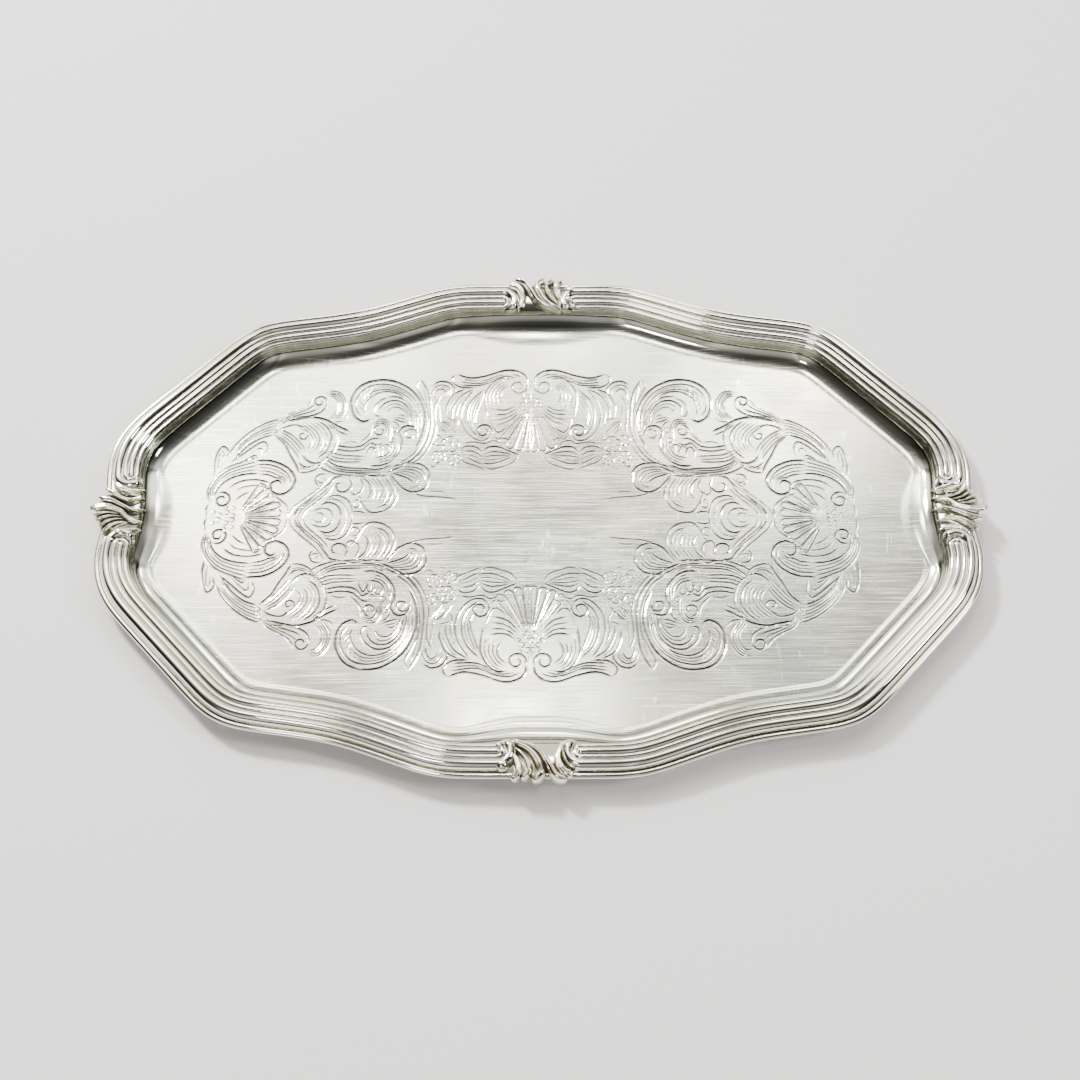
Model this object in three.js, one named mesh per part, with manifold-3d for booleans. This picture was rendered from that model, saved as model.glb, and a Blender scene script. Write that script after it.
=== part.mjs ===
// Oval serving tray with a scalloped outline: a pressed sheet body, a lapped edge wire,
// four reeded border mounts and four cast scroll ornaments. Millimetres, +Z up, +X along the length.
// The floor's underside rests on z = 0 and the tray is centred on the origin in plan.
import * as THREE from "three";
import Module from "manifold-3d";

// ---- driving dimensions, mm ----
const SHEET = 1.2; // thickness of the pressed sheet
const HALF_WIDTH = 118.1; // centre line to the edge, at the middle of a long side
const HALF_WAIST = 183.4; // centre line to the edge, in the waist at an end
const CLEARANCE = 0.3; // gap left between pieces that touch

// The edge from the middle of a long side to the waist of an end.
// Two straight runs have no length here: they take up what the arcs leave.
const EDGE_RUNS = [
  { straight: "side" },
  { radius: 45, turn: -20 }, // shoulder
  { straight: 24 },
  { radius: 110, turn: 12 }, // hollow
  { straight: 25 },
  { radius: 33, turn: -38.4 }, // corner
  { straight: "diagonal" },
  { radius: 40, turn: -57.6 }, // end of the tray
  { radius: 46, turn: 14 }, // waist
];
const ARC_STEP = 9; // degrees between stations on an arc
const LINE_STEP = 14; // longest stretch between stations on a straight run

// Heights are above the top of the floor; "in" is the distance in from the edge.
const FLANGE = { outerIn: 2.6, outerZ: 7.5, innerIn: 14.4, innerZ: 6.7 };
const COVE = { topIn: 14.9, topZ: 6.65, width: 7.6, steepest: 72, steps: 6 };
const COVE_BULGE = { side: 5.5, sideReach: 36, end: 5.4, endReach: 28 };
const WIRE = { radius: 1.15, z: 6.95, sides: 6 };

// Border mount: distance from the middle reed and height, outwards and inwards.
const REED_IN = 11; // where the middle reed runs
const OUTWARD = [
  [1.1, 10.1],
  [1.8, 9.4],
  [2.8, 10.4],
  [3.9, 9.7],
  [4.9, 10.9],
  [6.1, 11.3],
  [7.4, 10.8],
  [8.2, 8.9],
];
const INWARD = [
  [1.1, 9.8],
  [1.8, 8.7],
  [2.6, 9.2],
  [3.05, 8.7],
  [3.2, 8.4],
  [3.35, 8.1],
  [3.45, 7.8],
  [3.5, 7.5],
];
const REED_TOP = 10.3;
const SCROLL_FROM = { side: 16.5, end: 17 }; // where the reeds start to curl, from the axis
const SCROLL_RAYS = 8;

// Leaves of the ornaments: path points are [along the edge clockwise, outwards from it].
const SIDE_LEAVES = [
  { path: [[-12.6, -0.4], [-8.6, -4.5], [-7.6, -10], [-9.6, -14.2]], width: 2.0, top: 10.9 },
  { path: [[-11, 0.6], [-4.6, -1.5], [-1.2, -7], [4, -12], [11, -14.2]], width: 2.3, top: 11.5 },
  { path: [[2, 0.4], [1.8, -4.5], [5.5, -9.5], [11.5, -13.4]], width: 2.1, top: 11.7 },
  { path: [[3, 0.6], [6.2, 1.0], [8.2, -1.4], [7.2, -6], [10.4, -11.8]], width: 2.0, top: 11.3 },
  { path: [[12.4, 0], [9.6, -4], [9.2, -9.5], [11.0, -13.8]], width: 1.8, top: 10.7 },
];
const END_LEAVES = [
  { path: [[-9.4, -0.6], [-8.1, -4], [-7.6, -9.5], [-9, -14]], width: 1.3, top: 10.8 },
  { path: [[-7.4, 1.2], [-5.6, -3.5], [-5.2, -8.5], [-6, -13.8]], width: 1.5, top: 11.3 },
  { path: [[-1.6, 6.6], [-2.4, 0], [-3.2, -6.5], [-2, -14]], width: 2.1, top: 11.7 },
  { path: [[0.8, 6.8], [1, 0], [-0.6, -6.5], [1.4, -14]], width: 1.8, top: 11.6 },
  { path: [[3.6, 4.4], [4, -1], [2.6, -7], [4.6, -14]], width: 1.7, top: 11.3 },
  { path: [[8.2, 0.6], [6.6, -4.5], [5.8, -9], [7.4, -13.8]], width: 1.6, top: 10.9 },
];
const LEAF_STATIONS = 8;
const LEAF_SECTION = [
  [-1, 0],
  [-0.85, 0.6],
  [0, 1],
  [0.85, 0.6],
  [1, 0],
];

const radians = THREE.MathUtils.degToRad;
const lerp = THREE.MathUtils.lerp;
const smooth = THREE.MathUtils.smoothstep;

const wasm = await Module();
wasm.setup();

// ---- the edge ----

// Runs along the edge with the given lengths for the two open straight runs.
// Each station is a point and the direction straight out of the tray there.
function walkEdge(side, diagonal) {
  const open = { side, diagonal };
  const stations = [];
  let x = 0;
  let y = HALF_WIDTH;
  let heading = 0;
  const mark = () => stations.push({ x, y, nx: -Math.sin(heading), ny: Math.cos(heading) });
  mark();
  for (const run of EDGE_RUNS) {
    const length = open[run.straight] ?? run.straight ?? run.radius * radians(Math.abs(run.turn));
    const turn = radians(run.turn ?? 0);
    const steps = run.turn
      ? Math.ceil(Math.abs(run.turn) / ARC_STEP)
      : Math.ceil(Math.abs(length) / LINE_STEP);
    for (let i = 0; i < steps; i++) {
      const half = turn / steps / 2;
      const chord = (length / steps) * (half ? Math.sin(half) / half : 1);
      x += chord * Math.cos(heading + half);
      y += chord * Math.sin(heading + half);
      heading += turn / steps;
      mark();
    }
  }
  return stations;
}

// A quarter of the edge whose last station is at the waist, on the X axis.
function quarterEdge() {
  const trial = walkEdge(0, 0).at(-1);
  const slope = radians(46.4);
  const diagonal = trial.y / Math.sin(slope);
  const side = HALF_WAIST - trial.x - diagonal * Math.cos(slope);
  return walkEdge(side, diagonal);
}

// Extra width of the cove where it swells inwards behind an ornament.
function coveWidth(station) {
  const nearSide = 1 - smooth(Math.abs(station.x), 6, COVE_BULGE.sideReach);
  const nearEnd = 1 - smooth(Math.abs(station.y), 2, COVE_BULGE.endReach);
  return COVE.width + COVE_BULGE.side * nearSide + COVE_BULGE.end * nearEnd;
}

const QUARTER = quarterEdge();
const mirrored = (s, sx, sy) => ({ x: s.x * sx, y: s.y * sy, nx: s.nx * sx, ny: s.ny * sy });

// The whole edge, anticlockwise from the middle of the back, without its end stations twice.
const RING = [
  ...QUARTER.slice(0, -1).map((s) => mirrored(s, -1, 1)),
  ...QUARTER.slice(1).reverse().map((s) => mirrored(s, -1, -1)),
  ...QUARTER.slice(0, -1).map((s) => mirrored(s, 1, -1)),
  ...QUARTER.slice(1).reverse(),
];

// The point a distance in from the edge, at a height above the floor.
const inFrom = (s, inward, z) => [s.x - s.nx * inward, s.y - s.ny * inward, SHEET + z];

// ---- meshes ----

function geometryOf(points, faces) {
  const geometry = new THREE.BufferGeometry();
  geometry.setAttribute("position", new THREE.Float32BufferAttribute(points.flat(), 3));
  geometry.setIndex(faces);
  return geometry;
}

// Two triangles between four corners.
const quad = (a, b, c, d) => [a, b, c, a, c, d];

// A closed loop of sections, each a closed loop of points.
function loopOfSections(sections) {
  const size = sections[0].length;
  const faces = [];
  sections.forEach((_, i) => {
    const here = i * size;
    const next = ((i + 1) % sections.length) * size;
    for (let j = 0; j < size; j++) {
      const k = (j + 1) % size;
      faces.push(...quad(here + j, next + j, next + k, here + k));
    }
  });
  return geometryOf(sections.flat(), faces);
}

// Height of the flange's top at a distance in from the edge.
function flangeTop(inward) {
  const along = (inward - FLANGE.outerIn) / (FLANGE.innerIn - FLANGE.outerIn);
  return lerp(FLANGE.outerZ, FLANGE.innerZ, along);
}

// The pressed sheet: flange, cove and flat floor.
function bodyGeometry() {
  const coveAngles = Array.from({ length: COVE.steps + 1 }, (_, i) =>
    radians(COVE.steepest * (1 - i / COVE.steps)),
  );
  const upper = (s) => [
    inFrom(s, FLANGE.outerIn, FLANGE.outerZ),
    inFrom(s, FLANGE.innerIn, FLANGE.innerZ),
    ...coveAngles.map((a) =>
      inFrom(s, COVE.topIn + coveWidth(s) * (1 - Math.sin(a)), COVE.topZ * (1 - Math.cos(a))),
    ),
  ];
  const lower = (s) => [
    inFrom(s, FLANGE.outerIn, FLANGE.outerZ - SHEET),
    ...coveAngles.map((a) =>
      inFrom(
        s,
        COVE.topIn - SHEET + (coveWidth(s) + SHEET) * (1 - Math.sin(a)),
        COVE.topZ * (1 - Math.cos(a)) - SHEET,
      ),
    ),
  ];
  const tops = RING.map(upper);
  const bottoms = RING.map(lower);
  const topSize = tops[0].length;
  const lowSize = bottoms[0].length;
  const count = RING.length;
  const points = [...tops.flat(), ...bottoms.flat(), [0, 0, SHEET], [0, 0, 0]];
  const top = (i, j) => (i % count) * topSize + j;
  const low = (i, j) => count * topSize + (i % count) * lowSize + j;
  const topCentre = points.length - 2;
  const lowCentre = points.length - 1;
  const faces = [];
  for (let i = 0; i < count; i++) {
    for (let j = 0; j < topSize - 1; j++)
      faces.push(...quad(top(i, j), top(i + 1, j), top(i + 1, j + 1), top(i, j + 1)));
    for (let j = 0; j < lowSize - 1; j++)
      faces.push(...quad(low(i, j), low(i, j + 1), low(i + 1, j + 1), low(i + 1, j)));
    faces.push(...quad(top(i, 0), low(i, 0), low(i + 1, 0), top(i + 1, 0)));
    faces.push(top(i, topSize - 1), top(i + 1, topSize - 1), topCentre);
    faces.push(low(i + 1, lowSize - 1), low(i, lowSize - 1), lowCentre);
  }
  return geometryOf(points, faces);
}

// The round wire lapped over the sheet's edge.
function wireGeometry() {
  const sections = RING.map((s) =>
    Array.from({ length: WIRE.sides }, (_, k) => {
      const angle = (2 * Math.PI * (k + 0.5)) / WIRE.sides;
      const reach = WIRE.radius / Math.cos(Math.PI / WIRE.sides);
      const across = Math.min(WIRE.radius, Math.max(-WIRE.radius, reach * Math.cos(angle)));
      return inFrom(s, WIRE.radius - across, WIRE.z + WIRE.radius * Math.sin(angle));
    }),
  );
  return loopOfSections(sections);
}

// ---- reeded border mounts ----

// Stations of one quarter between the two scrolls.
function borderStations() {
  const axis = QUARTER.map((s) => inFrom(s, REED_IN, 0));
  const first = axis.findIndex((p) => p[0] > SCROLL_FROM.side);
  const after = axis.findIndex((p) => p[1] < SCROLL_FROM.end);
  const between = (i, share) => ({
    x: lerp(QUARTER[i].x, QUARTER[i + 1].x, share),
    y: lerp(QUARTER[i].y, QUARTER[i + 1].y, share),
    nx: lerp(QUARTER[i].nx, QUARTER[i + 1].nx, share),
    ny: lerp(QUARTER[i].ny, QUARTER[i + 1].ny, share),
  });
  const start = (SCROLL_FROM.side - axis[first - 1][0]) / (axis[first][0] - axis[first - 1][0]);
  const stop = (SCROLL_FROM.end - axis[after - 1][1]) / (axis[after][1] - axis[after - 1][1]);
  return [between(first - 1, start), ...QUARTER.slice(first, after), between(after - 1, stop)];
}

// A ray of the mount's top from the middle reed; turn 0 points out of the tray, 1 inwards.
function rayProfile(turn) {
  const fade = smooth(turn, 0.45, 1);
  return OUTWARD.map(([reach, z], i) => [lerp(reach, INWARD[i][0], fade), lerp(z, INWARD[i][1], fade)]);
}

// One quarter of the border. Its reeds end in a scroll, where the profile turns about the middle reed.
function borderGeometry() {
  const stations = borderStations();
  const points = [];
  const add = (p) => points.push(p) - 1;
  const faces = [];
  // A ray is its top points from the middle outwards, with the matching point of the underside last.
  const addRay = (s, turn, sign) => {
    const angle = Math.PI * turn;
    const centre = inFrom(s, REED_IN, 0);
    const ox = s.nx * Math.cos(angle) + sign * s.ny * Math.sin(angle);
    const oy = s.ny * Math.cos(angle) - sign * s.nx * Math.sin(angle);
    const ray = rayProfile(turn).map(([reach, z]) =>
      add([centre[0] + ox * reach, centre[1] + oy * reach, SHEET + z]),
    );
    const last = points[ray.at(-1)];
    const out = (last[0] - centre[0]) * s.nx + (last[1] - centre[1]) * s.ny;
    const under = flangeTop(REED_IN - out) + CLEARANCE;
    ray.push(add([last[0], last[1], SHEET + under]));
    return ray;
  };
  const rows = stations.map((s) => ({
    s,
    top: add(inFrom(s, REED_IN, REED_TOP)),
    under: add(inFrom(s, REED_IN, flangeTop(REED_IN) + CLEARANCE)),
    out: addRay(s, 0, 1),
    in: addRay(s, 1, 1),
  }));
  // The strip between two rays that start at the same or at neighbouring middle points.
  const skin = (a, b, topA, topB, underA, underB) => {
    const top = [topA, ...a];
    const next = [topB, ...b];
    for (let j = 0; j < top.length - 1; j++) {
      if (top[j] === next[j]) faces.push(top[j], next[j + 1], top[j + 1]);
      else faces.push(...quad(top[j], next[j], next[j + 1], top[j + 1]));
    }
    if (underA === underB) faces.push(a.at(-1), b.at(-1), underA);
    else faces.push(...quad(a.at(-1), b.at(-1), underB, underA));
  };
  for (let i = 0; i < rows.length - 1; i++) {
    const a = rows[i];
    const b = rows[i + 1];
    skin(a.out, b.out, a.top, b.top, a.under, b.under);
    skin(b.in, a.in, b.top, a.top, b.under, a.under);
  }
  for (const [row, sign] of [[rows[0], -1], [rows.at(-1), 1]]) {
    const rays = [row.out];
    for (let k = 1; k < SCROLL_RAYS; k++) rays.push(addRay(row.s, k / SCROLL_RAYS, sign));
    rays.push(row.in);
    for (let k = 0; k < SCROLL_RAYS; k++) {
      const [a, b] = sign > 0 ? [rays[k], rays[k + 1]] : [rays[k + 1], rays[k]];
      skin(a, b, row.top, row.top, row.under, row.under);
    }
  }
  return geometryOf(points, faces);
}

// ---- ornaments ----

// A closed body for the boolean operations.
function solidOf(points, faces) {
  const vertProperties = new Float32Array(points.flat());
  const triVerts = new Uint32Array(faces);
  return wasm.Manifold.ofMesh(new wasm.Mesh({ numProp: 3, vertProperties, triVerts }));
}

// Lowest height of an ornament at a distance out from the edge: over the flange, then over the wire.
function ornamentBase(out) {
  if (out > -FLANGE.outerIn) return WIRE.z + WIRE.radius + CLEARANCE;
  return flangeTop(-out) + CLEARANCE;
}

// A leaf with a rounded back, tapered at both ends. "place" turns [along, out] into x and y.
function leafSolid({ path, width, top }, place) {
  const curve = new THREE.CatmullRomCurve3(path.map(([along, out]) => new THREE.Vector3(along, out, 0)));
  const points = [];
  for (let i = 0; i <= LEAF_STATIONS; i++) {
    const share = i / LEAF_STATIONS;
    const at = curve.getPointAt(share);
    const ahead = curve.getTangentAt(share);
    const swell = 0.35 + 0.65 * Math.sin(Math.PI * (0.12 + 0.76 * share));
    for (const [across, up] of LEAF_SECTION) {
      const along = at.x + ahead.y * across * width * swell;
      const out = at.y - ahead.x * across * width * swell;
      const base = ornamentBase(out);
      points.push([...place(along, out), SHEET + lerp(base, base + (top - base) * swell, up)]);
    }
  }
  const size = LEAF_SECTION.length;
  const faces = [];
  for (let i = 0; i < LEAF_STATIONS; i++)
    for (let j = 0; j < size; j++) {
      const k = (j + 1) % size;
      faces.push(...quad(i * size + j, i * size + k, (i + 1) * size + k, (i + 1) * size + j));
    }
  const last = LEAF_STATIONS * size;
  for (let j = 1; j < size - 1; j++) {
    faces.push(0, j + 1, j);
    faces.push(last, last + j, last + j + 1);
  }
  return solidOf(points, faces);
}

// The space that the scroll at one end of a border mount needs, as a tall prism.
function scrollSpace(s, sign, flip) {
  const centre = inFrom(s, REED_IN, 0);
  const outline = [];
  for (let k = 0; k <= SCROLL_RAYS; k++) {
    const angle = (Math.PI * k) / SCROLL_RAYS;
    const reach = rayProfile(k / SCROLL_RAYS).at(-1)[0] + CLEARANCE;
    const x = centre[0] + reach * (s.nx * Math.cos(angle) + sign * s.ny * Math.sin(angle));
    const y = centre[1] + reach * (s.ny * Math.cos(angle) - sign * s.nx * Math.sin(angle));
    outline.push([x * flip[0], y * flip[1]]);
  }
  if (sign * flip[0] * flip[1] > 0) outline.reverse();
  const size = outline.length;
  const points = [...outline.map(([x, y]) => [x, y, 0]), ...outline.map(([x, y]) => [x, y, 4 * REED_TOP])];
  const faces = [];
  for (let j = 0; j < size; j++) faces.push(...quad(j, (j + 1) % size, size + ((j + 1) % size), size + j));
  for (let j = 1; j < size - 1; j++) faces.push(0, j + 1, j, size, size + j, size + j + 1);
  return solidOf(points, faces);
}

// The leaves as one casting, cut clear of the scrolls on both sides of it.
function ornamentGeometry(leaves, place, scrolls) {
  const whole = wasm.Manifold.union(leaves.map((leaf) => leafSolid(leaf, place)));
  const mesh = wasm.Manifold.difference([whole, ...scrolls]).getMesh();
  const geometry = new THREE.BufferGeometry();
  geometry.setAttribute("position", new THREE.BufferAttribute(new Float32Array(mesh.vertProperties), 3));
  geometry.setIndex([...mesh.triVerts]);
  return geometry;
}

// ---- the tray ----

const silver = (color, roughness) => new THREE.MeshStandardMaterial({ color, roughness, metalness: 1 });
const SHEET_SILVER = silver(0xc9c7bf, 0.22);
const MOUNT_SILVER = silver(0xd6d3ca, 0.16);
const CAST_SILVER = silver(0xcbc8bc, 0.2);

const group = new THREE.Group();

function addMesh(name, geometry, material) {
  geometry.computeVertexNormals();
  const mesh = new THREE.Mesh(geometry, material);
  mesh.name = name;
  group.add(mesh);
  return mesh;
}

addMesh("tray_body", bodyGeometry(), SHEET_SILVER);
addMesh("edge_wire", wireGeometry(), MOUNT_SILVER);

for (const [name, sx, sy] of [
  ["border_back_right", 1, 1],
  ["border_front_right", 1, -1],
  ["border_front_left", -1, -1],
  ["border_back_left", -1, 1],
])
  addMesh(name, borderGeometry(), MOUNT_SILVER).scale.set(sx, sy, 1);

// Opposite ornaments are the same casting, turned half round.
const [nearSide, nearEnd] = [borderStations().at(0), borderStations().at(-1)];
const sideOrnament = ornamentGeometry(
  SIDE_LEAVES,
  (along, out) => [along, HALF_WIDTH + out],
  [scrollSpace(nearSide, -1, [1, 1]), scrollSpace(nearSide, -1, [-1, 1])],
);
const endOrnament = ornamentGeometry(
  END_LEAVES,
  (along, out) => [HALF_WAIST + out, -along],
  [scrollSpace(nearEnd, 1, [1, 1]), scrollSpace(nearEnd, 1, [1, -1])],
);
for (const [name, geometry, turn] of [
  ["ornament_back", sideOrnament, 0],
  ["ornament_front", sideOrnament, Math.PI],
  ["ornament_right", endOrnament, 0],
  ["ornament_left", endOrnament, Math.PI],
])
  addMesh(name, geometry, CAST_SILVER).rotation.z = turn;

export default group;
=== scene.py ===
"""Silver-plated serving tray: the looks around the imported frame.

Lengths are millimetres in the tray's frame until a mesh is made, which scales them to metres.
Heights in the profiles are above the top of the floor, as in the CAD source.
"""
import math

import bpy
import bmesh
import numpy as np
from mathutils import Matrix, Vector
from mathutils.geometry import delaunay_2d_cdt
from mathutils.kdtree import KDTree


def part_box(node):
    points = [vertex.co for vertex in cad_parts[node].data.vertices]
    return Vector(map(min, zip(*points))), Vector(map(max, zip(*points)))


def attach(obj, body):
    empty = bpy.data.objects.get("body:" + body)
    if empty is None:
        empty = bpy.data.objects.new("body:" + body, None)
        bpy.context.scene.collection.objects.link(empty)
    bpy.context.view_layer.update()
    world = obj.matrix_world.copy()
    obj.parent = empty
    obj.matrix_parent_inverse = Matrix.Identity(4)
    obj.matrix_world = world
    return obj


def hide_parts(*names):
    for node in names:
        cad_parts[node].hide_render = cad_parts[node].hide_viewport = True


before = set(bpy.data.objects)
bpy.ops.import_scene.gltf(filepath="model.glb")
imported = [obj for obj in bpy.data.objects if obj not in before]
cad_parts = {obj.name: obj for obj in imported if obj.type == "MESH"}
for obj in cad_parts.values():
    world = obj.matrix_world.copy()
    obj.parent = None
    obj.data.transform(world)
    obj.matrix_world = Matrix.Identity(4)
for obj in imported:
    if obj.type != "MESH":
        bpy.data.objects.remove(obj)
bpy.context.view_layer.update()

MM = 0.001
BODY = "root"


# ---- sizes, from the frame ----

WIRE_HIGH = np.array(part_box("edge_wire")[1]) / MM
SHEET = 1.2  # thickness of the pressed sheet, and so the height of the floor
HALF_WIDTH = WIRE_HIGH[1]  # centre line to the edge, at the middle of a long side
SHOULDER_RADIUS, WAIST_RADIUS, WAIST_TURN = 40, 46, 14  # the two arcs that meet beside the waist
END_SWELL = (SHOULDER_RADIUS + WAIST_RADIUS) * (1 - math.cos(math.radians(WAIST_TURN)))
HALF_WAIST = WIRE_HIGH[0] - END_SWELL  # centre line to the edge, in the waist at an end

# The edge from the middle of a long side to the waist of an end.
# Two straight runs have no length here: they take up what the arcs leave.
EDGE_RUNS = [
    {"straight": "side"},
    {"radius": 45, "turn": -20},
    {"straight": 24},
    {"radius": 110, "turn": 12},
    {"straight": 25},
    {"radius": 33, "turn": -38.4},
    {"straight": "diagonal"},
    {"radius": SHOULDER_RADIUS, "turn": -57.6},
    {"radius": WAIST_RADIUS, "turn": WAIST_TURN},
]
DIAGONAL_SLOPE = 46.4  # degrees that the diagonal run falls
ARC_STEP = 2.5  # degrees between stations on an arc
LINE_STEP = 3.0  # longest stretch between stations on a straight run

FLANGE = {"outer": (2.6, 7.5), "inner": (14.4, 6.7)}  # (distance in from the edge, height)
COVE_IN, COVE_TOP, COVE_WIDTH = 14.7, 6.9, 9.2  # in from the edge, height and plan width
# How much wider the cove is beside each ornament, and how far along from it that lasts.
COVE_BULGE = {"side": 5.5, "side_reach": 36, "end": 5.4, "end_reach": 28}
REED_IN = 11  # how far in from the edge the middle reed runs
SCROLL_FROM = {"side": 16.5, "end": 17}  # where the reeds start to curl, from the axis
WIRE_RADIUS, WIRE_HEIGHT = 1.35, 6.95
SOFT_BENDS = (6.0, 9.0)  # mm over which the edge's places, and its directions, are evened out


def smoothstep(value, low, high):
    t = np.clip((value - low) / (high - low), 0, 1)
    return t * t * (3 - 2 * t)


# ---- the edge ----

def walk_edge(side, diagonal):
    """Stations along a quarter of the edge: rows of x, y and the direction out of the tray."""
    open_runs = {"side": side, "diagonal": diagonal}
    x, y, heading = 0.0, HALF_WIDTH, 0.0
    rows = [(x, y, 0.0, 1.0)]
    for run in EDGE_RUNS:
        if "radius" in run:
            turn = math.radians(run["turn"])
            length = run["radius"] * abs(turn)
            steps = math.ceil(abs(run["turn"]) / ARC_STEP)
        else:
            turn = 0.0
            length = open_runs.get(run["straight"], run["straight"])
            steps = math.ceil(abs(length) / LINE_STEP)
        for _ in range(steps):
            half = turn / steps / 2
            chord = length / steps * (math.sin(half) / half if half else 1)
            x += chord * math.cos(heading + half)
            y += chord * math.sin(heading + half)
            heading += turn / steps
            rows.append((x, y, -math.sin(heading), math.cos(heading)))
    return np.array(rows)


def quarter_edge():
    """A quarter of the edge whose last station is at the waist, on the X axis."""
    x, y = walk_edge(0, 0)[-1][:2]
    slope = math.radians(DIAGONAL_SLOPE)
    diagonal = y / math.sin(slope)
    return walk_edge(HALF_WAIST - x - diagonal * math.cos(slope), diagonal)


def whole_edge(quarter):
    """The whole edge, anticlockwise from the middle of the back."""
    def flip(rows, sx, sy):
        return rows * np.array([sx, sy, sx, sy])
    return np.vstack([
        flip(quarter[:-1], -1, 1),
        flip(quarter[:0:-1], -1, -1),
        flip(quarter[:-1], 1, -1),
        flip(quarter[:0:-1], 1, 1),
    ])


def in_from(stations, inward, height):
    """Points a distance in from the edge at a height above the floor."""
    xy = stations[:, :2] - stations[:, 2:] * np.reshape(inward, (-1, 1))
    z = np.broadcast_to(SHEET + height, len(stations))
    return np.column_stack([xy, z])


def cove_width(stations):
    near_side = 1 - smoothstep(abs(stations[:, 0]), 6, COVE_BULGE["side_reach"])
    near_end = 1 - smoothstep(abs(stations[:, 1]), 2, COVE_BULGE["end_reach"])
    return COVE_WIDTH + COVE_BULGE["side"] * near_side + COVE_BULGE["end"] * near_end


def softened(quarter):
    """The same quarter with its bends evened out, as a rolled edge has them."""
    ring = whole_edge(quarter)[::-1]
    steps = np.hypot(*(np.roll(ring[:, :2], -1, axis=0) - ring[:, :2]).T)
    along = np.concatenate([[0], np.cumsum(steps)[:-1]])
    total = steps.sum()
    share = (steps + np.roll(steps, 1)) / 2
    made = quarter.copy()
    for k, row in enumerate(quarter):
        at = along[np.argmin(np.hypot(*(ring[:, :2] - row[:2]).T))]
        far = (along - at + total / 2) % total - total / 2
        for columns, reach in zip((slice(0, 2), slice(2, 4)), SOFT_BENDS):
            weight = share * np.exp(-((far / reach) ** 2) / 2)
            made[k, columns] = weight @ ring[:, columns] / weight.sum()
        made[k, 2:] /= np.hypot(*made[k, 2:])
    return made


QUARTER = softened(quarter_edge())
RING = whole_edge(QUARTER)


# ---- meshes ----

class Mesher:
    """Collects points and faces, then makes one object of them."""

    def __init__(self):
        self.points = []
        self.faces = []
        self.flat = set()  # numbers of the faces with no smooth shading

    def add(self, rows):
        start = len(self.points)
        self.points.extend(map(tuple, rows))
        return list(range(start, start + len(rows)))

    def bridge(self, a, b, closed=False):
        """Quads between two rows of the same length."""
        count = len(a) if closed else len(a) - 1
        for i in range(count):
            j = (i + 1) % len(a)
            self.faces.append((a[i], a[j], b[j], b[i]))

    def fan(self, row, centre):
        for i in range(len(row)):
            self.faces.append((row[i], row[(i + 1) % len(row)], centre))

    def object(self, name, material, nodes, crease=40, merge=1e-3):
        mesh = bpy.data.meshes.new(name)
        mesh.from_pydata([(x * MM, y * MM, z * MM) for x, y, z in self.points], [], self.faces)
        mesh.polygons.foreach_set("use_smooth", [i not in self.flat for i in range(len(self.faces))])
        bm = bmesh.new()
        bm.from_mesh(mesh)
        bmesh.ops.remove_doubles(bm, verts=bm.verts, dist=merge * MM)
        bmesh.ops.dissolve_degenerate(bm, edges=bm.edges, dist=merge * MM * 0.1)
        bmesh.ops.recalc_face_normals(bm, faces=bm.faces)
        smooth = [face.smooth for face in bm.faces]
        bm.to_mesh(mesh)
        bm.free()
        mesh.set_sharp_from_angle(angle=math.radians(crease))
        mesh.polygons.foreach_set("use_smooth", smooth)
        mesh.materials.append(material)
        piece = bpy.data.objects.new(name, mesh)
        bpy.context.scene.collection.objects.link(piece)
        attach(piece, BODY)
        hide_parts(*nodes)
        return piece


# ---- materials ----

def node(tree, kind, inputs=None, **settings):
    made = tree.nodes.new(kind)
    for key, value in settings.items():
        setattr(made, key, value)
    for key, value in (inputs or {}).items():
        if isinstance(value, bpy.types.NodeSocket):
            tree.links.new(value, made.inputs[key])
        else:
            made.inputs[key].default_value = value
    return made


PAINTED_HOLLOW_SHADE = (0.17, 0.15, 0.12, 1)  # painted shade: a warm dark blended in where the silver is occluded, in its hollows
COOL_TINT = (0.55, 0.66, 0.62, 1)  # thin bluish tarnish on the floor
# painted highlight: a pale warm colour blended into the cuts
PAINTED_CUT_HIGHLIGHT = (1.0, 0.94, 0.74, 1)
BARE_SILVER = (1.0, 0.97, 0.88, 1)
HOLLOW_REACH = 1.4 * MM  # how near a hollow's walls must be for it to get painted shade
SCRATCHES = [(0, 1.0), (16, 0.7), (-38, 0.6), (87, 0.8)]  # direction in degrees and strength


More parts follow.
